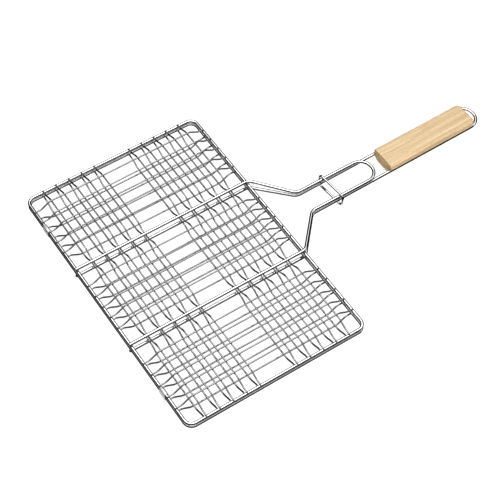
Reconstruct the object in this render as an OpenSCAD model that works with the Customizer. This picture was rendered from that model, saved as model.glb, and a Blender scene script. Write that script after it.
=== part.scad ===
// Hinged wire grill basket: two shallow welded mesh halves that close on the food like a book,
// two sheet-metal hinge clips, a long double-wire handle with a wooden grip and a sliding lock ring.
// +X runs from the hinge to the end of the handle, +Z is up, and the basket lies on Z = 0.

/* [Basket] */
// Length of the basket along its hinge, between rim wire centres
basket_l = 344; // [330:1:352]
// Width of the basket from the hinge to the handle side, between rim wire centres
basket_w = 220; // [212:1:232]
// Radius of the rim's corners, to the wire centre
corner_r = 9; // [6:0.5:14]
// Clear gap between the two rims when the basket is shut
rim_gap = 2.1; // [1.6:0.1:4]

/* [Wire diameters] */
// Rim wire
rim_d = 3.4; // [3:0.1:3.8]
// Handle wire, which is also the bar under each section line
handle_d = 3.6; // [3.4:0.1:3.7]
// Mesh wire
mesh_d = 1.6; // [1.5:0.1:1.8]
// Lock ring wire
ring_d = 2.4; // [2:0.1:2.8]
// How far two crossing wires are fused together by their spot weld
weld = 0.15; // [0.1:0.01:0.18]

/* [Mesh] */
// Sections that the two bars divide the basket into
sections = 3; // [3]
// Cross wires, from hinge to handle side, in one section of one half
cross_count = 5; // [3:1:5]
// Spacing of the cross wires
cross_pitch = 15.9; // [15.6:0.1:16.2]
// Long wires, parallel to the hinge, in each of the two groups of one half
long_count = 5; // [3:1:5]
// Spacing of the long wires
long_pitch = 16.5; // [15.5:0.1:16.6]
// Distance across the open middle between the two groups of long wires
group_gap = 46; // [42:1:48]
// How far the mesh stands outside the rim
mesh_rise = 7; // [6:0.5:8]

/* [Handle] */
// Length along X of the slanted arms
arm_run = 38; // [34:1:42]
// Half the distance between the two parallel handle wires
handle_half = 15.2; // [14.8:0.1:15.4]
// Reach of the upper half's loop past the rim
loop_reach = 132.4; // [124:0.2:134]
// Reach of the lower handle wire past the rim, round the end of the grip
handle_reach = 279.6; // [270:0.2:290]
// Bend radius of the arms
arm_bend = 7; // [5:0.5:9]
// Height of the upper handle wire above the plane between the halves
upper_level = 2.4; // [2.4:0.1:2.8]
// Depth of the lower handle wire under that plane, where it leaves the arms
lower_drop = 3.45; // [3.45:0.05:3.8]
// How much the lower handle wire climbs per unit of length
climb = 0.022; // [0.018:0.001:0.022]

/* [Grip] */
// Distance from the rim to the front of the wooden grip
grip_start = 149; // [146:1:152]
// Thickness of the grip
grip_t = 16.5; // [15.5:0.5:18]
// Width of the grip
grip_w = 33.6; // [33:0.1:35]
// Rounding of the grip's upper edges
grip_r_top = 3.5; // [3:0.5:5]
// Rounding of the grip's lower edges
grip_r_low = 6; // [4:0.5:6]
// Length of the grip
grip_l = 121.7; // [118:0.1:123]
// Rounding of the grip's far corners, seen from above
grip_corner = 6.5; // [6.3:0.1:8]

/* [Lock ring] */
// Distance from the rim to the ring when it is locked
ring_at = 76.5; // [74:0.5:80]
// Half height of the ring, to the wire centre
ring_half_h = 7.6; // [7.4:0.1:7.8]
// How far the ring's upper bar stands ahead of its middle
ring_lean = 0.6; // [0.2:0.1:1]
// Angle that the loose ring is turned off square to the handle
ring_yaw = 5.5; // [1:0.5:6]

/* [Hinge clips] */
// Length of one clip along the rims
clip_l = 11; // [10:0.5:11]
// Thickness of the clip's sheet
clip_t = 0.8; // [0.6:0.1:1]
// Running clearance between a clip and a rim wire
clip_fit = 0.08; // [0.05:0.01:0.1]

/* [Hidden] */
$fn = 32;

rim_z = (rim_gap + rim_d) / 2;
bar_z = rim_z + (rim_d + handle_d) / 2 - weld;
end_z = rim_z + (rim_d + mesh_d) / 2 - weld;
cross_z = end_z + mesh_rise;
long_z = cross_z - mesh_d + weld / 2;
under_bar_z = bar_z - (handle_d + mesh_d) / 2 + weld;

section_l = basket_l / sections;
bar_y = section_l / 2;
bar_tail = 2.5;             // end of a bar past the hinge-side rim centre
bar_nose = 2;               // straight bar past the handle-side rim centre
groove_fit = 0.15;
slot_half = 1.85;           // half height of the slot that lets the wire into the grip's groove
ring_side_gap = 1.9;
ring_hang = 0.1;            // space between the ring's upper bar and the upper handle wire
ring_bend = 4;

wire_tip = 0.5;             // end of a mesh wire past the rim's centre
end_flat = 7;               // level wire inside a rim or beside a bar, before its ramp
cross_ramp = 11;
long_ramp = 11;
cross_bend = 10;
long_bend = 14;

// A bend is a hair thicker than the straight wire, whose ends are tucked inside it.
bend_extra = 0.02;
tuck = 0.3;
u_turn_r = handle_half - 0.5;

clip_out = rim_d / 2 + clip_fit + clip_t;

// Everything below is drawn from the hinge-side rim centre and the plane between the halves.
hinge_x = clip_out - (clip_out + basket_w + handle_reach + handle_d / 2) / 2;
middle_z = cross_z + (mesh_d + bend_extra) / 2;

// The welded cross wires are a little off their even places: for each half, the front, middle and
// back sections' shift towards the back and their extra spacing.
upper_offsets = [[-1.7, 0], [0, 0], [3, 0.3]];
lower_offsets = [[0.3, 0.2], [1.8, -0.4], [1, -0.4]];

halves = [["upper", 1], ["lower", -1]];
clip_after = 2;             // cross wires outside each clip
cross_total = sections * cross_count;
long_total = 2 * long_count;

function two_digits(n) = n < 10 ? str("0", n) : str(n);
function cross_name(half, n) = str(half, "_cross_wire_", two_digits(n));
function long_name(half, n) = str(half, "_long_wire_", two_digits(n));

// Cross wires are counted from the front section to the back one.
function cross_y(side, n) =
    let (
        k = floor((n - 1) / cross_count),
        i = (n - 1) % cross_count - (cross_count - 1) / 2,
        offsets = side > 0 ? upper_offsets[k] : lower_offsets[k]
    )
    (k - (sections - 1) / 2) * section_l + offsets[0] + i * (cross_pitch + offsets[1]);

// A clip stands in the middle of the space between cross wires n and n + 1 of both halves.
function clip_y(n) =
    (max(cross_y(1, n), cross_y(-1, n)) + min(cross_y(1, n + 1), cross_y(-1, n + 1))) / 2;

// Long wires are counted from the hinge to the handle side.
function long_x(n) =
    let (i = (n - 1) % long_count)
    n <= long_count
        ? basket_w / 2 - group_gap / 2 - (long_count - 1 - i) * long_pitch
        : basket_w / 2 + group_gap / 2 + i * long_pitch;

// ---- bent wire ----

function unit(v) = v / norm(v);
function bend_at(bend, i) = is_list(bend) ? bend[i] : bend;
function mirrored(points, axis) =
    [for (i = [len(points) - 1:-1:0])
        [for (k = [0:2]) k == axis ? -points[i][k] : points[i][k]]];

// Length that the bend at corner i takes from the straight wire on each side of it
function bend_reach(p, i, bend, closed) =
    let (n = len(p))
    !closed && (i == 0 || i == n - 1) ? 0 :
    let (u = unit(p[i] - p[(i + n - 1) % n]), v = unit(p[(i + 1) % n] - p[i]))
    bend_at(bend, i) * tan(acos(u * v) / 2);

module frame_at(origin, x_axis, y_axis, z_axis)
    multmatrix([
        [x_axis.x, y_axis.x, z_axis.x, origin.x],
        [x_axis.y, y_axis.y, z_axis.y, origin.y],
        [x_axis.z, y_axis.z, z_axis.z, origin.z],
        [0, 0, 0, 1]
    ]) children();

module straight(a, b, d, side)
    frame_at(a, unit(cross(side, b - a)), unit(side), unit(b - a))
        cylinder(h = norm(b - a), d = d);

module bend_arc(before, corner, after, bend, d) {
    u = unit(corner - before);
    v = unit(after - corner);
    turn = acos(u * v);
    inward = unit(v - u * (u * v));
    start = corner - u * bend * tan(turn / 2);
    frame_at(start + inward * bend, -inward, u, cross(-inward, u))
        rotate_extrude(angle = turn) translate([bend, 0]) circle(d = d);
}

// Round wire through the corners p, bent to the radius `bend`. `normal` is square to its plane.
module wire(p, bend, d, normal, closed = false) {
    n = len(p);
    for (i = [0:closed ? n - 1 : n - 2]) {
        j = (i + 1) % n;
        u = unit(p[j] - p[i]);
        reach_a = bend_reach(p, i, bend, closed);
        reach_b = bend_reach(p, j, bend, closed);
        a = p[i] + u * (reach_a > 0 ? reach_a - tuck : 0);
        b = p[j] - u * (reach_b > 0 ? reach_b - tuck : 0);
        straight(a, b, d, normal - u * (u * normal));
    }
    for (i = [closed ? 0 : 1:closed ? n - 1 : n - 2])
        bend_arc(p[(i + n - 1) % n], p[i], p[(i + 1) % n], bend_at(bend, i), d + bend_extra);
}

module placed() translate([hinge_x, 0, middle_z]) children();

// ---- halves ----

module rim(side) {
    z = side * rim_z;
    y = basket_l / 2;
    color("silver") placed()
        wire([[0, -y, z], [basket_w, -y, z], [basket_w, y, z], [0, y, z]],
             corner_r, rim_d, [0, 0, 1], closed = true);
}

module cross_wire(side, y)
    color("gainsboro") placed() translate([0, y, 0])
        wire([
            [-wire_tip, 0, side * end_z],
            [end_flat, 0, side * end_z],
            [end_flat + cross_ramp, 0, side * cross_z],
            [basket_w - end_flat - cross_ramp, 0, side * cross_z],
            [basket_w - end_flat, 0, side * end_z],
            [basket_w + wire_tip, 0, side * end_z]
        ], cross_bend, mesh_d, [0, 1, 0]);

// Half of a long wire, from the front rim to the middle of the basket
function long_half(side) = [
    [0, -basket_l / 2 - wire_tip, side * end_z],
    [0, -basket_l / 2 + end_flat, side * end_z],
    [0, -basket_l / 2 + end_flat + long_ramp, side * long_z],
    [0, -bar_y - end_flat - long_ramp, side * long_z],
    [0, -bar_y - end_flat, side * under_bar_z],
    [0, -bar_y + end_flat, side * under_bar_z],
    [0, -bar_y + end_flat + long_ramp, side * long_z]
];

module long_wire(side, x)
    color("gainsboro") placed() translate([x, 0, 0])
        wire(concat(long_half(side), mirrored(long_half(side), 1)), long_bend, mesh_d, [1, 0, 0]);

// ---- handle ----

climb_from = 40;            // reach where the lower handle wire leaves the arms at its usual size

function handle_z(side, reach) =
    side > 0 ? upper_level : climb * (reach - climb_from) - lower_drop;

// Half of a handle wire: bar, arm and straight, with the corner of its U-turn at `reach`
function handle_side(side, reach) = [
    [-bar_tail, -bar_y, side * bar_z],
    [basket_w + bar_nose, -bar_y, side * bar_z],
    [basket_w + bar_nose + arm_run, -handle_half, handle_z(side, bar_nose + arm_run)],
    [basket_w + reach, -handle_half, handle_z(side, reach)]
];

module handle_wire(side, reach, d = handle_d) {
    half = handle_side(side, reach);
    wire(concat(half, mirrored(half, 1)),
         [0, arm_bend, arm_bend, u_turn_r, u_turn_r, arm_bend, arm_bend, 0],
         d, [0, 0, 1]);
}

module upper_handle_wire() color("silver") placed() handle_wire(1, loop_reach);

module lower_handle_wire() color("silver") placed() handle_wire(-1, handle_reach);

module grip_section() {
    w = grip_w / 2;
    t = grip_t / 2;
    translate([-w, grip_r_low - t]) square([grip_w, grip_t - grip_r_low - grip_r_top]);
    translate([grip_r_top - w, 0]) square([2 * (w - grip_r_top), t]);
    translate([grip_r_low - w, -t]) square([2 * (w - grip_r_low), t]);
    for (s = [-1, 1]) {
        translate([s * (w - grip_r_top), t - grip_r_top]) circle(r = grip_r_top);
        translate([s * (w - grip_r_low), grip_r_low - t]) circle(r = grip_r_low);
    }
}

// The grip's section beyond the centre of its far corners
module corner_section()
    intersection() {
        translate([grip_corner - grip_w / 2, 0]) grip_section();
        translate([0, -grip_t]) square([grip_w, 2 * grip_t]);
    }

// Grip without its groove, along X from the origin
module grip_block() {
    x = grip_l - grip_corner;
    y = grip_w / 2 - grip_corner;
    frame_at([0, 0, 0], [0, 1, 0], [0, 0, 1], [1, 0, 0]) linear_extrude(x) grip_section();
    frame_at([x, y, 0], [1, 0, 0], [0, 0, 1], [0, -1, 0])
        linear_extrude(2 * y) corner_section();
    translate([x, y, 0]) rotate_extrude(angle = 90) corner_section();
    translate([x, -y, 0]) rotate([0, 0, -90]) rotate_extrude(angle = 90) corner_section();
}

// Wooden grip; the lower handle wire lies in a groove that is open along the grip's edge, leaves the
// wood near its far corners and stands clear of it at the tip of its U-turn
module wood_grip() {
    along = unit([1, 0, climb]);
    color("burlywood") placed() difference() {
        frame_at([basket_w + grip_start, 0, handle_z(-1, grip_start)],
                 along, [0, 1, 0], [-along.z, 0, along.x])
            difference() {
                grip_block();
                for (s = [-1, 1])
                    translate([grip_l / 2, s * (handle_half + grip_w / 2), 0])
                        cube([2 * grip_l, grip_w, 2 * slot_half], center = true);
            }
        handle_wire(-1, handle_reach, handle_d + 2 * groove_fit);
    }
}

module lock_ring() {
    y = handle_half + (handle_d + ring_d) / 2 + ring_side_gap;
    top = upper_level + (handle_d + ring_d) / 2 + ring_hang;
    low = top - 2 * ring_half_h;
    color("silver") placed() translate([basket_w + ring_at, 0, 0]) rotate([0, 0, ring_yaw])
        wire([[-ring_lean, -y, low], [-ring_lean, y, low], [ring_lean, y, top], [ring_lean, -y, top]],
             ring_bend, ring_d, unit([2 * ring_half_h, 0, -2 * ring_lean]), closed = true);
}

// ---- hinge clips ----

module stadium(r) {
    square([2 * r, 2 * rim_z], center = true);
    for (z = [-rim_z, rim_z]) translate([0, z]) circle(r = r);
}

// Sheet band folded round both rims
module hinge_clip(y)
    color("lightgray") placed() translate([0, y, 0]) rotate([90, 0, 0])
        linear_extrude(clip_l, center = true) difference() {
            stadium(clip_out);
            stadium(clip_out - clip_t);
        }

rim(1);  // upper_rim
rim(-1);  // lower_rim
upper_handle_wire();
lower_handle_wire();
wood_grip();
lock_ring();
hinge_clip(clip_y(cross_total - clip_after));  // hinge_clip_back
hinge_clip(clip_y(clip_after));  // hinge_clip_front
for (h = halves, n = [1:cross_total])
    cross_wire(h[1], cross_y(h[1], n));
for (h = halves, n = [1:long_total])
    long_wire(h[1], long_x(n));
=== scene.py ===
"""Wire grill basket, shut and locked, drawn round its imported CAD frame.

Every wire is swept again at a finer grain along the route that its CAD node follows, with cut or
rounded ends and spot welds. The wooden grip and the hinge clips are rebuilt with worn edges.
"""
import math
import random

import bmesh
import bpy
from mathutils import Matrix, Vector


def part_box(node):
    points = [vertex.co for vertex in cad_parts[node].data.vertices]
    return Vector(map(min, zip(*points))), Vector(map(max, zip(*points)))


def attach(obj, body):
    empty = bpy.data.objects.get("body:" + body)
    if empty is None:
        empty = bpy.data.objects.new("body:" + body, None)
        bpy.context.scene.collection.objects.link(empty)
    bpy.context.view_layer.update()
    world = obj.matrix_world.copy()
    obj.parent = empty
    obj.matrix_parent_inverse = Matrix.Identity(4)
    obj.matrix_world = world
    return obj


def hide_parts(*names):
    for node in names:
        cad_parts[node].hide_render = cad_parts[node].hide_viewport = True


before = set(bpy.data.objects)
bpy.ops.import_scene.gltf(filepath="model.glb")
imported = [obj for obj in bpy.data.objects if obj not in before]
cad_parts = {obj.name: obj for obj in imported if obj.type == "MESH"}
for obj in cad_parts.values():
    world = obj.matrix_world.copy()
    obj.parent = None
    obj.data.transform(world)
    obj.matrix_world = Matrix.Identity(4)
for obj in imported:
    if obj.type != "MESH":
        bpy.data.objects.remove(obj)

MM = 0.001
CM_PER_M = 100
X, Y = 0, 1
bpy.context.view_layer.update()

# ---------------------------------------------------------------- sizes

# These are the CAD's own, but for the lines marked as finer detail, which only the visual has.

# wires
RIM_D, HANDLE_D, MESH_D, RING_D = 3.4 * MM, 3.6 * MM, 1.6 * MM, 2.4 * MM
RIM_SIDES, HANDLE_SIDES, MESH_SIDES, RING_SIDES = 24, 28, 16, 24    # faces round each wire
BEND_EXTRA = 0.01 * MM          # the CAD bends stand this much outside the straight wire
WELD = 0.15 * MM                # how far two crossing wires sink into each other

# rims and mesh
CORNER_R = 9.0 * MM
SECTIONS, CROSS_COUNT, LONG_COUNT = 3, 5, 5
MESH_RISE = 7.0 * MM            # mesh plateau above the wire's end on the rim
WIRE_TIP = 0.5 * MM             # end of a mesh wire past the rim's centre
END_FLAT, CROSS_RAMP, LONG_RAMP = 7.0 * MM, 11.0 * MM, 11.0 * MM
CROSS_BEND, LONG_BEND = 10.0 * MM, 14.0 * MM
CROSS_STRAY, LONG_STRAY = 0.45 * MM, 0.5 * MM       # finer detail: sideways stray of the wires

# handle wires
BAR_TAIL, BAR_NOSE = 2.5 * MM, 2.0 * MM             # bar past the rims' centres at each end
ARM_RUN = 38.0 * MM
ARM_BEND = 11.0 * MM            # finer detail: the CAD's arms bend more tightly, at 7 mm
HANDLE_HALF = 15.2 * MM         # from the handle's middle line to the centre of its wires
U_TURN_R = HANDLE_HALF - 0.5 * MM
UPPER_LEVEL = 2.4 * MM          # the upper handle wire, above the plane between the halves
LOWER_DROP = 3.45 * MM          # the lower handle wire, below that plane where it leaves the arms
CLIMB = 0.022                   # how much the lower handle wire climbs per unit of length

# lock ring
RING_HALF_H, RING_LEAN, RING_YAW = 7.6 * MM, 0.6 * MM, math.radians(5.5)
RING_SIDE_GAP = 1.9 * MM        # between the ring's ends and the handle wires
RING_CORNER_R = 4.0 * MM

# wooden grip
GRIP_START, GRIP_L, GRIP_T = 149.0 * MM, 121.7 * MM, 16.5 * MM
GRIP_R_TOP, GRIP_R_LOW = 3.5 * MM, 6.0 * MM
GRIP_CORNER = 6.5 * MM          # radius of the far end's corners, seen from above
GRIP_LOW_IN = 1.1 * MM          # finer detail: how much narrower each side is under the wire
GRIP_CROWN = 0.3 * MM           # finer detail: how much the top and bottom bulge
GRIP_EASE = 0.9 * MM            # finer detail: radius of the front end's eased edge
GROOVE_R = HANDLE_D / 2 + 0.15 * MM

# hinge clips
CLIP_FIT, CLIP_T = 0.08 * MM, 0.8 * MM
CLIP_EASE = 0.22 * MM           # finer detail: the sheet's eased edges


def node_box(node):
    low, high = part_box(node)
    return Vector(low), Vector(high)


def node_centre(node):
    low, high = node_box(node)
    return (low + high) / 2


rim_low, rim_high = node_box("upper_rim")
BASKET_W = rim_high.x - rim_low.x - RIM_D - 2 * BEND_EXTRA
BASKET_L = rim_high.y - rim_low.y - RIM_D - 2 * BEND_EXTRA
HINGE_X = rim_low.x + RIM_D / 2 + BEND_EXTRA
RIM_Z = (node_centre("upper_rim").z - node_centre("lower_rim").z) / 2
MIDDLE_Z = (node_centre("upper_rim").z + node_centre("lower_rim").z) / 2
BAR_Z = RIM_Z + (RIM_D + HANDLE_D) / 2 - WELD
END_Z = RIM_Z + (RIM_D + MESH_D) / 2 - WELD
CROSS_Z = END_Z + MESH_RISE
LONG_Z = CROSS_Z - MESH_D + WELD / 2
UNDER_BAR_Z = BAR_Z - (HANDLE_D + MESH_D) / 2 + WELD
BAR_Y = BASKET_L / SECTIONS / 2
LOOP_END = node_box("upper_handle_wire")[1].x - HANDLE_D / 2 - HINGE_X
HANDLE_END = node_box("lower_handle_wire")[1].x - HANDLE_D / 2 - HINGE_X
MIDDLE = Vector((HINGE_X, 0, MIDDLE_Z))     # hinge-side rim centre, between the two halves

HALVES = {"upper": 1, "lower": -1}
BODY_OF_HALF = {"upper": "upper_half", "lower": "lower_half"}

# ---------------------------------------------------------------- bent wire


def unit_turn(before, corner, after):
    """Directions into and out of a corner, and the angle between them."""
    u, v = (corner - before).normalized(), (after - corner).normalized()
    return u, v, u.angle(v)


def rounded(points, radius, closed=False, step=math.radians(5), stride=5 * MM):
    """The route through the points, each corner bent to its radius, as closely spaced points."""
    n = len(points)
    radii = radius if isinstance(radius, list) else [radius] * n
    route = []
    for i in range(n):
        if not closed and i in (0, n - 1):
            route.append(points[i])
            continue
        corner = points[i]
        u, v, turn = unit_turn(points[i - 1], corner, points[(i + 1) % n])
        inward = (v - u * u.dot(v)).normalized()
        start = corner - u * radii[i] * math.tan(turn / 2)
        centre = start + inward * radii[i]
        count = max(2, math.ceil(turn / step))
        for k in range(count + 1):
            a = turn * k / count
            spoke = u * math.sin(a) - inward * math.cos(a)
            route.append(centre + spoke * radii[i])
    out = []
    for i, p in enumerate(route):
        out.append(p)
        if i == len(route) - 1 and not closed:
            break
        q = route[(i + 1) % len(route)]
        cuts = int((q - p).length / stride)
        out += [p.lerp(q, (k + 1) / (cuts + 1)) for k in range(cuts)]
    return out


def route_frames(route, closed):
    """Tangent, side and up at every point of a route, carried along without twist.

    The first side is level, or along Y where the route starts upright.
    """
    n = len(route)
    frames = []
    side = None
    for i, p in enumerate(route):
        before = route[i - 1] if closed or i else p
        after = route[(i + 1) % n] if closed or i < n - 1 else p
        tangent = (after - before).normalized()
        if side is None:
            side = tangent.cross(Vector((0, 0, 1)))
            side = side.normalized() if side.length > 0.1 else Vector((0, 1, 0))
        side = (side - tangent * side.dot(tangent)).normalized()
        frames.append((tangent, side, tangent.cross(side)))
    return frames


# End profiles, from the tip back: (distance from the tip, radius there), both in wire radii
SHEARED_END = [(0.0, 0.72), (0.05, 0.86), (0.14, 0.95), (0.3, 1.0)]
ROUND_END = [
    (1 - math.sin(a), math.cos(a)) for a in (math.radians(d) for d in (72, 52, 34, 17, 0))
]
END_CLEAR = 1.2                 # the first point behind an end profile, in lengths of the profile


def wire_mesh(name, route, d, sides, closed=False, ends=SHEARED_END):
    """A round wire swept along the route, with UVs: u runs along it in centimetres, v round it."""
    r = d / 2
    frames = route_frames(route, closed)
    if closed:
        rings = [(p, f, 1.0) for p, f in zip(route, frames)]
    else:
        clear = ends[-1][0] * r * END_CLEAR
        tip_a = [(route[0] + frames[0][0] * b * r, frames[0], s) for b, s in ends]
        tip_b = [(route[-1] - frames[-1][0] * b * r, frames[-1], s) for b, s in reversed(ends)]
        inner = [
            (p, f, 1.0) for p, f in zip(route[1:-1], frames[1:-1])
            if min((p - route[0]).length, (p - route[-1]).length) > clear
        ]
        rings = tip_a + inner + tip_b
    bm = bmesh.new()
    uv = bm.loops.layers.uv.new("UVMap")
    loops = []
    along = [0.0]
    for i, (p, (_, s, up), share) in enumerate(rings):
        if i:
            along.append(along[-1] + (p - rings[i - 1][0]).length * CM_PER_M)
        loops.append([
            bm.verts.new(p + (s * math.cos(a) + up * math.sin(a)) * r * share)
            for a in [2 * math.pi * k / sides for k in range(sides)]
        ])
    pairs = [(i, i + 1, along[i], along[i + 1]) for i in range(len(rings) - 1)]
    if closed:
        gap = (rings[0][0] - rings[-1][0]).length * CM_PER_M
        pairs.append((len(rings) - 1, 0, along[-1], along[-1] + gap))
    for i, j, u0, u1 in pairs:
        for k in range(sides):
            m = (k + 1) % sides
            face = bm.faces.new((loops[i][k], loops[i][m], loops[j][m], loops[j][k]))
            corners = ((u0, k), (u0, k + 1), (u1, k + 1), (u1, k))
            for loop, (u, c) in zip(face.loops, corners):
                loop[uv].uv = (u, c / sides)
    if not closed:
        bm.faces.new(list(reversed(loops[0])))
        bm.faces.new(loops[-1])
    return mesh_object(name, bm, smooth_angle=50)


def mesh_object(name, bm, smooth_angle=35):
    """An object in the scene from bm; edges sharper than smooth_angle, in degrees, stay sharp."""
    bmesh.ops.recalc_face_normals(bm, faces=bm.faces)
    mesh = bpy.data.meshes.new(name)
    bm.to_mesh(mesh)
    bm.free()
    mesh.shade_smooth()
    mesh.set_sharp_from_angle(angle=math.radians(smooth_angle))
    piece = bpy.data.objects.new(name, mesh)
    bpy.context.scene.collection.objects.link(piece)
    return piece


def dress(piece, body, slot_name, material, *nodes):
    """Gives a piece its material and its body, and hides the CAD nodes that it stands for."""
    piece.data.materials.append(material)
    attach(piece, body)
    if nodes:
        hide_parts(*nodes)
    return piece


# ---------------------------------------------------------------- materials

# Places of a colour mix node's sockets, which share their names with its other data types
MIX_FACTOR, MIX_A, MIX_B, MIX_RESULT = 0, 6, 7, 2
WHITE = (1, 1, 1)


class Nodes:
    """Short calls for building a node tree."""

    def __init__(self, material):
        material.use_nodes = True
        self.tree = material.node_tree
        self.shader = self.tree.nodes["Principled BSDF"]

    def add(self, kind, **values):
        node = self.tree.nodes.new(kind)
        for key, value in values.items():
            if hasattr(node, key):
                setattr(node, key, value)
            else:
                node.inputs[key.replace("_", " ").title()].default_value = value
        return node

    def link(self, source, output, target, socket):
        self.tree.links.new(source.outputs[output], target.inputs[socket])

    def noise(self, vector, output, scale, detail=3.0, roughness=0.5):
        node = self.add("ShaderNodeTexNoise", scale=scale, detail=detail, roughness=roughness)
        self.link(vector, output, node, "Vector")
        return node

    def scaled(self, source, output, scale, rotation=(0, 0, 0)):
        node = self.add("ShaderNodeMapping")
        node.inputs["Scale"].default_value = scale
        node.inputs["Rotation"].default_value = rotation
        self.link(source, output, node, "Vector")
        return node

    def ramp(self, source, output, stops):
        node = self.add("ShaderNodeValToRGB")
        elements = node.color_ramp.elements
        while len(elements) < len(stops):
            elements.new(0.5)
        for element, (place, colour) in zip(elements, stops):
            element.position = place
            element.color = (*colour, 1)
        self.link(source, output, node, "Fac")
        return node

    def remap(self, source, output, low, high, to_low, to_high):
        node = self.add("ShaderNodeMapRange")
        limits = {"From Min": low, "From Max": high, "To Min": to_low, "To Max": to_high}
        for key, value in limits.items():
            node.inputs[key].default_value = value
        self.link(source, output, node, "Value")
        return node

    def mix(self, kind, factor, a, b):
        """kind is a blend type; a and b are (node, output)."""
        node = self.add("ShaderNodeMix", data_type="RGBA", blend_type=kind)
        node.inputs[MIX_FACTOR].default_value = factor
        self.link(*a, node, MIX_A)
        self.link(*b, node, MIX_B)
        return node

    def bump(self, source, output, distance, strength, after=None):
        node = self.add("ShaderNodeBump")
        node.inputs["Distance"].default_value = distance
        node.inputs["Strength"].default_value = strength
        self.link(source, output, node, "Height")
        if after:
            self.link(after, "Normal", node, "Normal")
        return node


def chrome_wire(name, dark, light, smooth, dull):
    """Bright plated wire: faint lengthwise drawing lines, cloudy plating and a few dull patches.

    dark and light are the plating's grey levels, with a breath of blue, and where set low they hold
    painted shade;
    smooth and dull are its least and greatest roughness.
    """
    material = bpy.data.materials.new(name)
    n = Nodes(material)
    uv = n.add("ShaderNodeTexCoord")
    lines = n.noise(n.scaled(uv, "UV", (0.6, 26, 1)), "Vector", 1.0, 4)
    clouds = n.noise(uv, "Object", 55.0, 4)
    specks = n.noise(uv, "Object", 900.0, 2)
    cool_dark = (dark, dark + 0.005, dark + 0.015)
    cool_light = (light, light, light + 0.005)
    tone = n.ramp(clouds, "Fac", [(0.3, cool_dark), (0.7, cool_light)])
    streak = n.ramp(lines, "Fac", [(0.35, (0.9, 0.9, 0.9)), (0.6, WHITE)])
    colour = n.mix("MULTIPLY", 0.6, (tone, "Color"), (streak, "Color"))
    n.link(colour, MIX_RESULT, n.shader, "Base Color")
    rough = n.remap(clouds, "Fac", 0.35, 0.7, smooth, dull)
    n.link(rough, "Result", n.shader, "Roughness")
    n.shader.inputs["Metallic"].default_value = 1.0
    ripple = n.bump(lines, "Fac", 0.006 * MM, 0.4)
    grain = n.bump(specks, "Fac", 0.004 * MM, 0.3, ripple)
    n.link(grain, "Normal", n.shader, "Normal")
    return material


def plated_sheet():
    """Satin plated sheet, a little duller than the wires."""
    material = bpy.data.materials.new("plated_sheet")
    n = Nodes(material)
    at = n.add("ShaderNodeTexCoord")
    rolled = n.noise(n.scaled(at, "Object", (900, 60, 900)), "Vector", 1.0, 3)
    clouds = n.noise(at, "Object", 120.0, 3)
    tone = n.ramp(clouds, "Fac", [(0.3, (0.66, 0.67, 0.68)), (0.7, (0.80, 0.80, 0.81))])
    n.link(tone, "Color", n.shader, "Base Color")
    n.shader.inputs["Metallic"].default_value = 0.45
    rough = n.remap(rolled, "Fac", 0.3, 0.7, 0.28, 0.42)
    n.link(rough, "Result", n.shader, "Roughness")
    marks = n.bump(rolled, "Fac", 0.02 * MM, 0.5)
    n.link(marks, "Normal", n.shader, "Normal")
    return material


def beech(name, shade):
    """Pale sanded beech: growth bands, long streaks, short dark flecks and pores.

    shade darkens its colours; all scales are per metre, with X along the grain.
    """
    material = bpy.data.materials.new(name)
    n = Nodes(material)
    at = n.add("ShaderNodeTexCoord")
    bent = n.noise(n.scaled(at, "Object", (9, 60, 60)), "Vector", 1.0, 3)
    bands_at = n.scaled(at, "Object", (1.6, 95, 60), (0.35, 0, 0))
    warp = n.mix("ADD", 0.5, (bands_at, "Vector"), (bent, "Color"))
    bands = n.noise(warp, MIX_RESULT, 2.2, 4, 0.55)
    streaks = n.noise(n.scaled(at, "Object", (14, 700, 700)), "Vector", 1.0, 3, 0.6)
    flecks = n.noise(n.scaled(at, "Object", (260, 2600, 2600)), "Vector", 1.0, 2)
    tones = [
        (0.30, (0.67, 0.54, 0.38)), (0.46, (0.76, 0.63, 0.46)),
        (0.58, (0.81, 0.69, 0.51)), (0.74, (0.87, 0.77, 0.61)),
    ]
    shaded = [(place, tuple(c * k for c, k in zip(tone, shade))) for place, tone in tones]
    tone = n.ramp(bands, "Fac", shaded)
    streak = n.ramp(streaks, "Fac", [(0.3, (0.84, 0.80, 0.74)), (0.55, WHITE)])
    fleck = n.ramp(flecks, "Fac", [(0.30, (0.72, 0.62, 0.52)), (0.40, WHITE)])
    colour = n.mix("MULTIPLY", 0.75, (tone, "Color"), (streak, "Color"))
    colour = n.mix("MULTIPLY", 0.7, (colour, MIX_RESULT), (fleck, "Color"))
    n.link(colour, MIX_RESULT, n.shader, "Base Color")
    rough = n.remap(streaks, "Fac", 0.3, 0.7, 0.62, 0.48)
    n.link(rough, "Result", n.shader, "Roughness")
    n.shader.inputs["Specular IOR Level"].default_value = 0.35
    grain = n.bump(streaks, "Fac", 0.08 * MM, 0.5)
    pores = n.bump(flecks, "Fac", 0.06 * MM, 0.4, grain)
    n.link(pores, "Normal", n.shader, "Normal")
    return material


RIM_CHROME = chrome_wire("chrome_rim", dark=0.74, light=0.86, smooth=0.05, dull=0.13)
HANDLE_CHROME = chrome_wire("chrome_handle", dark=0.76, light=0.88, smooth=0.04, dull=0.11)
# The mesh wires' grey levels sit far below the rims' as painted shade: the darker plating stands in
# for the dark surroundings that the thin wires mirror, so they read as dark lines; the spot welds
# share it
MESH_CHROME_PAINTED_SHADE = chrome_wire("chrome_mesh_painted_shade", dark=0.46, light=0.58, smooth=0.07, dull=0.17)
RING_CHROME = chrome_wire("chrome_ring", dark=0.74, light=0.86, smooth=0.05, dull=0.12)
SHEET = plated_sheet()
BEECH = beech("beech", shade=WHITE)
END_GRAIN = beech("beech_end_grain", shade=(0.86, 0.83, 0.76))

# ---------------------------------------------------------------- rims and mesh


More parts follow.
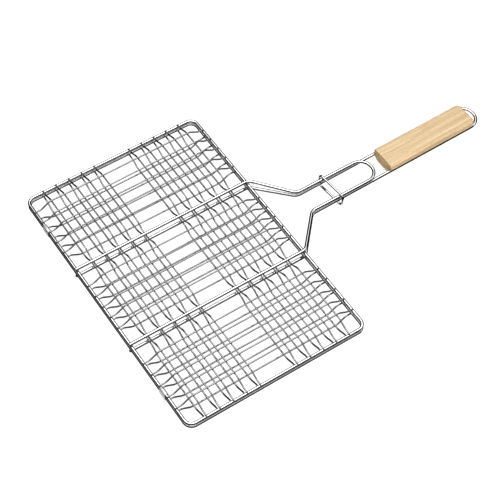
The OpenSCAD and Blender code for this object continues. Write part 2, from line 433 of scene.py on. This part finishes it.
def rim(half, side):
    y, z = BASKET_L / 2, side * RIM_Z
    corners = [(0, -y, z), (BASKET_W, -y, z), (BASKET_W, y, z), (0, y, z)]
    route = rounded([MIDDLE + Vector(c) for c in corners], CORNER_R, closed=True)
    piece = wire_mesh(f"{half}_rim_wire", route, RIM_D, RIM_SIDES, closed=True)
    return dress(piece, BODY_OF_HALF[half], "rim_wire", RIM_CHROME, f"{half}_rim")


STRAY_WAVES = 3


def wander(route, axis, amount, seed):
    """Lets a thin wire stray a little sideways between its two ends, as hand-loaded wire does."""
    pick = random.Random(seed)
    waves = [
        (pick.uniform(1, 3.2), pick.uniform(0, 2 * math.pi), pick.uniform(0.3, 1))
        for _ in range(STRAY_WAVES)
    ]
    length = sum((b - a).length for a, b in zip(route, route[1:]))
    out, s = [], 0.0
    for i, p in enumerate(route):
        if i:
            s += (p - route[i - 1]).length
        t = s / length
        hold = math.sin(math.pi * t) ** 0.5
        shift = sum(k * math.sin(math.pi * w * t + phase) for w, phase, k in waves) / STRAY_WAVES
        moved = p.copy()
        moved[axis] += amount * hold * shift
        out.append(moved)
    return out


def cross_wire(node, half, side):
    y = node_centre(node).y
    w = BASKET_W
    corners = [
        (-WIRE_TIP, END_Z), (END_FLAT, END_Z), (END_FLAT + CROSS_RAMP, CROSS_Z),
        (w - END_FLAT - CROSS_RAMP, CROSS_Z), (w - END_FLAT, END_Z), (w + WIRE_TIP, END_Z),
    ]
    route = rounded([MIDDLE + Vector((x, y, side * z)) for x, z in corners], CROSS_BEND)
    route = wander(route, Y, CROSS_STRAY, node)
    piece = wire_mesh(node.replace("_cross_", "_mesh_cross_"), route, MESH_D, MESH_SIDES)
    return dress(piece, BODY_OF_HALF[half], "mesh_wire", MESH_CHROME_PAINTED_SHADE, node)


def long_wire(node, half, side):
    x = node_centre(node).x - HINGE_X
    end = BASKET_L / 2
    corners = [
        (-end - WIRE_TIP, END_Z), (-end + END_FLAT, END_Z), (-end + END_FLAT + LONG_RAMP, LONG_Z),
        (-BAR_Y - END_FLAT - LONG_RAMP, LONG_Z), (-BAR_Y - END_FLAT, UNDER_BAR_Z),
        (-BAR_Y + END_FLAT, UNDER_BAR_Z), (-BAR_Y + END_FLAT + LONG_RAMP, LONG_Z),
    ]
    corners += [(-y, z) for y, z in reversed(corners)]
    route = rounded([MIDDLE + Vector((x, y, side * z)) for y, z in corners], LONG_BEND)
    route = wander(route, X, LONG_STRAY, node)
    piece = wire_mesh(node.replace("_long_", "_mesh_long_"), route, MESH_D, MESH_SIDES)
    return dress(piece, BODY_OF_HALF[half], "mesh_wire", MESH_CHROME_PAINTED_SHADE, node)


BEAD_ROWS, BEAD_SIDES, BEAD_SWELL = 5, 10, 0.12


def bead(bm, centre, size, pick):
    """One spot weld: a small lump that fills the crease where two wires cross."""
    swell = [1 + pick.uniform(-BEAD_SWELL, BEAD_SWELL) for _ in range(BEAD_SIDES)]
    rings = []
    for i in range(1, BEAD_ROWS):
        a = math.pi * i / BEAD_ROWS
        ring = []
        for k in range(BEAD_SIDES):
            b = 2 * math.pi * k / BEAD_SIDES
            out = math.sin(a) * swell[k]
            ring.append(bm.verts.new(centre + Vector((
                size.x * out * math.cos(b), size.y * out * math.sin(b), size.z * math.cos(a)))))
        rings.append(ring)
    top = bm.verts.new(centre + Vector((0, 0, size.z)))
    bottom = bm.verts.new(centre - Vector((0, 0, size.z)))
    for k in range(BEAD_SIDES):
        m = (k + 1) % BEAD_SIDES
        bm.faces.new((top, rings[0][k], rings[0][m]))
        bm.faces.new((bottom, rings[-1][m], rings[-1][k]))
        for i in range(len(rings) - 1):
            bm.faces.new((rings[i][k], rings[i + 1][k], rings[i + 1][m], rings[i][m]))


def welds(half, side, cross_ys, long_xs):
    """The spot welds of one half: mesh to mesh, mesh to rim, mesh to bar and bar to rim."""
    pick = random.Random(half)
    bm = bmesh.new()
    on_mesh = Vector((0.55, 0.55, 0.34)) * MESH_D
    on_rim, on_bar = on_mesh * 1.15, on_mesh * 1.1
    bar_on_rim = Vector((0.5, 0.5, 0.24)) * HANDLE_D

    def place(x, y, z, size):
        bead(bm, MIDDLE + Vector((x, y, side * z)), size, pick)

    for y in cross_ys:
        for x in long_xs:
            place(x, y, CROSS_Z - MESH_D / 2, on_mesh)
        for x in (0, BASKET_W):
            place(x, y, END_Z - MESH_D / 2, on_rim)
    for x in long_xs:
        for y in (-BASKET_L / 2, BASKET_L / 2):
            place(x, y, END_Z - MESH_D / 2, on_rim)
        for y in (-BAR_Y, BAR_Y):
            place(x, y, UNDER_BAR_Z + MESH_D / 2, on_bar)
    for x in (0, BASKET_W):
        for y in (-BAR_Y, BAR_Y):
            place(x, y, RIM_Z + RIM_D / 2, bar_on_rim)
    piece = mesh_object(f"{half}_spot_welds", bm, smooth_angle=180)
    return dress(piece, BODY_OF_HALF[half], "mesh_wire", MESH_CHROME_PAINTED_SHADE)


for half, side in HALVES.items():
    rim(half, side)
    cross_nodes = [f"{half}_cross_wire_{i:02d}" for i in range(1, SECTIONS * CROSS_COUNT + 1)]
    long_nodes = [f"{half}_long_wire_{i:02d}" for i in range(1, 2 * LONG_COUNT + 1)]
    for node in cross_nodes:
        cross_wire(node, half, side)
    for node in long_nodes:
        long_wire(node, half, side)
    welds(half, side, [node_centre(n).y for n in cross_nodes],
          [node_centre(n).x - HINGE_X for n in long_nodes])

# ---------------------------------------------------------------- handle wires and lock ring


def handle_z(side, reach):
    """Height of a handle wire's parallel part above the plane between the halves."""
    return UPPER_LEVEL if side > 0 else CLIMB * (reach - BAR_NOSE - ARM_RUN) - LOWER_DROP


def handle_route(side, end_x):
    """One handle wire: bar, arm, straight, U-turn at end_x, and back."""
    nose, elbow = BASKET_W + BAR_NOSE, BASKET_W + BAR_NOSE + ARM_RUN
    near = [
        (-BAR_TAIL, -BAR_Y, side * BAR_Z),
        (nose, -BAR_Y, side * BAR_Z),
        (elbow, -HANDLE_HALF, handle_z(side, elbow - BASKET_W)),
        (end_x, -HANDLE_HALF, handle_z(side, end_x - BASKET_W)),
    ]
    points = [MIDDLE + Vector(c) for c in near + [(x, -y, z) for x, y, z in reversed(near)]]
    bends = [0, ARM_BEND, ARM_BEND, U_TURN_R]
    return rounded(points, bends + bends[::-1])


def handle_wire(half, side, end_x):
    route = handle_route(side, end_x)
    piece = wire_mesh(f"{half}_handle", route, HANDLE_D, HANDLE_SIDES, ends=ROUND_END)
    return dress(piece, BODY_OF_HALF[half], "handle_wire", HANDLE_CHROME, f"{half}_handle_wire")


def lock_ring():
    """The loose ring, turned a little off square to the handle wires that it goes round."""
    centre = node_centre("lock_ring")
    y = HANDLE_HALF + (HANDLE_D + RING_D) / 2 + RING_SIDE_GAP
    turn = Matrix.Rotation(RING_YAW, 3, "Z")
    corners = [
        (-RING_LEAN, -y, -RING_HALF_H), (-RING_LEAN, y, -RING_HALF_H),
        (RING_LEAN, y, RING_HALF_H), (RING_LEAN, -y, RING_HALF_H),
    ]
    route = rounded([centre + turn @ Vector(c) for c in corners], RING_CORNER_R, closed=True)
    piece = wire_mesh("lock_ring_wire", route, RING_D, RING_SIDES, closed=True)
    return dress(piece, "lock_ring", "ring_wire", RING_CHROME, "lock_ring")


handle_wire("upper", 1, LOOP_END)
handle_wire("lower", -1, HANDLE_END)
lock_ring()

# ---------------------------------------------------------------- wooden grip

FLAT_STEPS, EDGE_STEPS, BODY_STEPS = 8, 14, 60      # points along the grip's flats, edges, length
LIP_SHARES = (1, 0.97, 0.9, 0.75, 0.5, 0.25, 0)     # heights of points in the groove's upper half
EASE_TURNS = (0, 20, 40, 60, 80, 90)                # degrees round the front end's eased edge
END_FACE = 0.97                 # a face that looks along the grip more than this is end grain


def grip_quarter(half_width, r_up, r_out):
    """A quarter of the grip's section, from the middle of its upper face out to its side.

    Its edge is a quarter of an ellipse, r_out wide and r_up high, less the face's crown.
    """
    y0, z0 = half_width - r_out, GRIP_T / 2 - r_up
    shares = [k / FLAT_STEPS for k in range(FLAT_STEPS + 1)]
    flat = [(y0 * share, GRIP_T / 2 - GRIP_CROWN * share ** 2) for share in shares]
    turns = [math.pi / 2 * (1 - k / EDGE_STEPS) for k in range(1, EDGE_STEPS + 1)]
    edge = [(y0 + r_out * math.cos(a), z0 + (r_up - GRIP_CROWN) * math.sin(a)) for a in turns]
    return flat + edge


def grip_half(half_width):
    """Right half of the grip's section, from top centre to bottom centre, as (y, z) points.

    The side gets extra points at the groove's lips.
    """
    low_half_width = half_width - GRIP_LOW_IN
    top = grip_quarter(half_width, GRIP_R_TOP, GRIP_R_TOP)
    bottom = grip_quarter(low_half_width, GRIP_R_LOW, 2 * GRIP_R_LOW)
    outline = top + [(y, -z) for y, z in reversed(bottom)]
    lips = [GROOVE_R * share for share in LIP_SHARES]
    lips += [-z for z in reversed(lips[:-1])]
    half = [p for p in outline if p[1] > GROOVE_R]
    half += [(half_width if z > 0 else low_half_width, z) for z in lips]
    half += [p for p in outline if p[1] < -GROOVE_R]
    return half


def groove_limit(x, z):
    """How far out to the side the wood reaches at a place along the grip and a height z.

    The wire's groove is open: it cuts everything from its inner side outwards.
    """
    if abs(z) >= GROOVE_R:
        return math.inf
    inner = math.sqrt(GROOVE_R ** 2 - z * z)
    past = x - (HANDLE_END - BASKET_W - GRIP_START - U_TURN_R)
    if past <= 0:
        return HANDLE_HALF - inner
    return HANDLE_HALF - U_TURN_R + math.sqrt(max((U_TURN_R - inner) ** 2 - past ** 2, 0.0))


def end_drop(x, r):
    """How far the grip's top or bottom has come in at x, on the rounded edge of the far end."""
    past = max(x - (GRIP_L - r), 0.0)
    return r - math.sqrt(max(r * r - past * past, 0.0))


def grip_stations():
    """Places along the grip, each with how far its section has shrunk there, as (x, inset).

    They are the eased front edge, the straight part and the corners of the far end.
    """
    corner_at = GRIP_L - GRIP_CORNER
    stations = []
    for a in [math.radians(d) for d in EASE_TURNS]:
        stations.append((GRIP_EASE * (1 - math.cos(a)), GRIP_EASE * (1 - math.sin(a))))
    for k in range(1, BODY_STEPS + 1):
        stations.append((GRIP_EASE + (corner_at - GRIP_EASE) * k / BODY_STEPS, 0.0))
    for a in [math.pi / 2 * k / EDGE_STEPS for k in range(1, EDGE_STEPS + 1)]:
        stations.append((corner_at + GRIP_CORNER * math.sin(a), GRIP_CORNER * (1 - math.cos(a))))
    return stations


def wood_grip():
    low, high = node_box("wood_grip")
    half_width = (high.y - low.y) / 2
    start = MIDDLE + Vector((BASKET_W + GRIP_START, 0, handle_z(-1, GRIP_START)))
    along = Vector((1, 0, CLIMB)).normalized()
    up = Vector((-along.z, 0, along.x))
    half = grip_half(half_width)
    bm = bmesh.new()
    rings = []
    for x, inset in grip_stations():
        eased = inset if x < GRIP_L / 2 else 0.0
        top = GRIP_T / 2 - eased - end_drop(x, GRIP_R_TOP)
        bottom = eased + end_drop(x, GRIP_R_LOW) - GRIP_T / 2
        share = 1 - inset / half_width
        ring = [(min(y * share, groove_limit(x, z)), min(max(z, bottom), top)) for y, z in half]
        right = [bm.verts.new(start + along * x + Vector((0, y, 0)) + up * z) for y, z in ring]
        left = [bm.verts.new(start + along * x - Vector((0, y, 0)) + up * z) for y, z in ring]
        rings.append(right + left[::-1])
    size = len(rings[0])
    for a, b in zip(rings, rings[1:]):
        for k in range(size):
            m = (k + 1) % size
            bm.faces.new((a[k], a[m], b[m], b[k]))
    bm.faces.new(rings[0])
    bm.faces.new(rings[-1])
    bmesh.ops.remove_doubles(bm, verts=bm.verts, dist=1e-6)
    bmesh.ops.dissolve_degenerate(bm, edges=bm.edges, dist=1e-7)
    piece = mesh_object("beech_grip", bm, smooth_angle=40)
    dress(piece, "lower_half", "grip_wood", BEECH, "wood_grip")
    piece.data.materials.append(END_GRAIN)
    for face in piece.data.polygons:
        if abs(face.normal.x) > END_FACE:
            face.material_index = 1
    return piece


wood_grip()

# ---------------------------------------------------------------- hinge clips


def stadium(radius, count=16):
    """Outline round both rims in the X-Z plane, from the upper rim's basket side upwards."""
    points = []
    for centre, first in ((RIM_Z, 0.0), (-RIM_Z, math.pi)):
        for k in range(count + 1):
            a = first + math.pi * k / count
            points.append((radius * math.cos(a), centre + radius * math.sin(a)))
    return points


def hinge_clip(node):
    """A sheet band with eased edges, bent round both rims."""
    low, high = node_box(node)
    inner_r = RIM_D / 2 + CLIP_FIT
    outer_r = inner_r + CLIP_T
    ease, bevel = CLIP_EASE, 0.3 * CLIP_EASE
    section = [
        (inner_r, ease), (inner_r + bevel, bevel), (inner_r + ease, 0.0),
        (outer_r - ease, 0.0), (outer_r - bevel, bevel), (outer_r, ease),
    ]
    profile = [(r, low.y + e) for r, e in section] + [(r, high.y - e) for r, e in reversed(section)]
    bm = bmesh.new()
    rings = []
    outlines = [stadium(r) for r, _ in profile]
    for points in zip(*outlines):
        rings.append([
            bm.verts.new(Vector((HINGE_X + x, y, MIDDLE_Z + z)))
            for (x, z), (_, y) in zip(points, profile)
        ])
    for a, b in zip(rings, rings[1:] + rings[:1]):
        for k in range(len(a)):
            m = (k + 1) % len(a)
            bm.faces.new((a[k], a[m], b[m], b[k]))
    piece = mesh_object(node.replace("hinge_clip", "clip_band"), bm, smooth_angle=40)
    return dress(piece, "hinge_clips", "clip_sheet", SHEET, node)


for clip in ("hinge_clip_back", "hinge_clip_front"):
    hinge_clip(clip)

# ---------------------------------------------------------------- floor, light and camera

FLOOR_SIZE = 12.0               # from the middle to a side
FLOOR_LIGHT = 0.86              # the floor's own light, which keeps it free of hard shadows

# The sky's grey levels from straight down (0) to straight up (1)
CEILING, FLOOR_GLOW, DARK_BAND = 1.0, 0.9, 0.0
SKY = [
    (0.0, FLOOR_GLOW), (0.135, FLOOR_GLOW), (0.155, DARK_BAND),
    (0.76, DARK_BAND), (0.785, CEILING), (1.0, CEILING),
]
SKY_STRENGTH = 1.1
FAR_WAY = Vector((0.549, 0.836, 0))     # the band tilts about the level line square to this
BAND_TILT = math.radians(-1)
VIEW_GAMMA = 0.6                # deepens the middle tones

CAMERA_AZIMUTH, CAMERA_ELEVATION = math.radians(-33.28), math.radians(54.35)
CAMERA_DISTANCE = 1.631
LENS_MM, SENSOR_MM = 106.9416, 36
AIM_PAST_MIDDLE, AIM_SIDE = 63.3 * MM, -20.7 * MM       # from the middle of the basket


def floor():
    bm = bmesh.new()
    bmesh.ops.create_grid(bm, x_segments=8, y_segments=8, size=FLOOR_SIZE)
    piece = mesh_object("floor", bm)
    material = bpy.data.materials.new("pale_floor")
    n = Nodes(material)
    at = n.add("ShaderNodeTexCoord")
    mottle = n.noise(at, "Object", 6.0, 2)
    tone = n.ramp(mottle, "Fac", [(0.3, (0.20, 0.20, 0.20)), (0.7, (0.22, 0.22, 0.22))])
    n.link(tone, "Color", n.shader, "Base Color")
    n.shader.inputs["Emission Color"].default_value = (*WHITE, 1)
    n.shader.inputs["Emission Strength"].default_value = FLOOR_LIGHT
    n.shader.inputs["Roughness"].default_value = 0.9
    n.shader.inputs["Specular IOR Level"].default_value = 0.0
    piece.data.materials.append(material)
    piece.visible_glossy = False


def sky():
    """A bright soft ceiling and a white floor with a dark band between them, round the horizon.

    The plated wires mirror the dark band as the thin black lines along their sides.
    """
    world = bpy.data.worlds.new("studio")
    bpy.context.scene.world = world
    world.use_nodes = True
    tree = world.node_tree
    at = tree.nodes.new("ShaderNodeTexCoord")
    split = tree.nodes.new("ShaderNodeSeparateXYZ")
    height = tree.nodes.new("ShaderNodeMapRange")
    height.inputs["From Min"].default_value = -1.0
    ramp = tree.nodes.new("ShaderNodeValToRGB")
    tilt = tree.nodes.new("ShaderNodeMapping")
    tilt_axis = Vector((FAR_WAY.y, -FAR_WAY.x, 0))
    tilt.inputs["Rotation"].default_value = Matrix.Rotation(BAND_TILT, 3, tilt_axis).to_euler()
    tree.links.new(at.outputs["Generated"], tilt.inputs["Vector"])
    tree.links.new(tilt.outputs["Vector"], split.inputs[0])
    tree.links.new(split.outputs["Z"], height.inputs["Value"])
    tree.links.new(height.outputs["Result"], ramp.inputs["Fac"])
    elements = ramp.color_ramp.elements
    while len(elements) < len(SKY):
        elements.new(0.5)
    for element, (place, grey) in zip(elements, SKY):
        element.position = place
        element.color = (grey, grey, grey, 1)
    back = tree.nodes["Background"]
    tree.links.new(ramp.outputs["Color"], back.inputs["Color"])
    back.inputs["Strength"].default_value = SKY_STRENGTH


def soft_light(name, place, aim, size, power, glossy=True):
    """A round panel that shines from place towards aim; glossy is whether metal mirrors it."""
    data = bpy.data.lights.new(name, "AREA")
    data.shape = "DISK"
    data.size = size
    data.energy = power
    lamp = bpy.data.objects.new(name, data)
    lamp.location = place
    lamp.rotation_euler = (Vector(aim) - Vector(place)).to_track_quat("-Z", "Y").to_euler()
    lamp.visible_glossy = glossy
    bpy.context.scene.collection.objects.link(lamp)


def camera():
    """Looks along its azimuth and elevation at a point between the basket and the handle."""
    target = Vector((HINGE_X + BASKET_W / 2 + AIM_PAST_MIDDLE, AIM_SIDE, MIDDLE_Z))
    ahead = Vector((-math.sin(CAMERA_AZIMUTH), math.cos(CAMERA_AZIMUTH), 0))
    ahead *= math.cos(CAMERA_ELEVATION)
    ahead.z = -math.sin(CAMERA_ELEVATION)
    data = bpy.data.cameras.new("camera")
    data.sensor_width = SENSOR_MM
    data.lens = LENS_MM
    eye = bpy.data.objects.new("camera", data)
    eye.location = target - ahead * CAMERA_DISTANCE
    eye.rotation_euler = ahead.to_track_quat("-Z", "Y").to_euler()
    bpy.context.scene.collection.objects.link(eye)
    bpy.context.scene.camera = eye


floor()
sky()
soft_light("overhead", place=(0.1, 0.3, 1.6), aim=(0, 0, 0), size=1.6, power=10)
soft_light("side", place=(2.6, -1.46, 0.85), aim=(0, 0, 0), size=2.1, power=11)
soft_light("fill", place=(-0.9, -1.2, 0.4), aim=(0.1, 0, 0), size=1.0, power=10, glossy=False)
camera()

bpy.context.scene.view_settings.view_transform = "Standard"
bpy.context.scene.view_settings.gamma = VIEW_GAMMA
